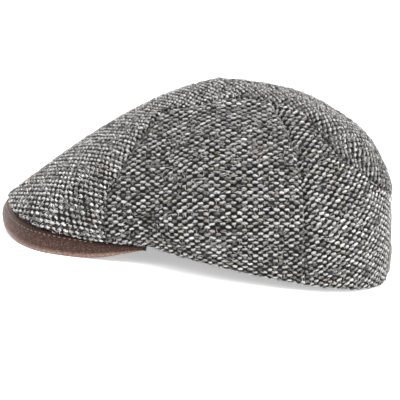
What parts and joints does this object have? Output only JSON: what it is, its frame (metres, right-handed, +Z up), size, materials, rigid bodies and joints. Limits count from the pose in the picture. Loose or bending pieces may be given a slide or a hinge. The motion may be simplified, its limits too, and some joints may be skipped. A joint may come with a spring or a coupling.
{
  "type": "tweed flat cap with leather peak",
  "caption": "Flat cap of coarse tweed panels, the full crown drawn forward over a short leather peak, open below for a head.",
  "frame": {"origin": "on the surface that the cap lies on, under the middle of its length and width", "axes": "+X to the wearer's left, -Y the way the peak points, +Z up from the surface"},
  "size_m": [0.1846, 0.2848, 0.1254],
  "materials": {
    "tweed": "coarse woven wool, matte and fuzzy",
    "peak_leather": "fine pebbled grain, soft sheen",
    "patch_leather": "smooth bare leather, matte"
  },
  "bodies": {
    "root": {"front_panel": "tweed", "back_panel": "tweed", "side_panel_left": "tweed", "side_panel_right": "tweed", "back_quarter_left": "tweed", "back_quarter_right": "tweed", "peak": "peak_leather", "nape_patch": "patch_leather"}
  },
  "joints": []
}
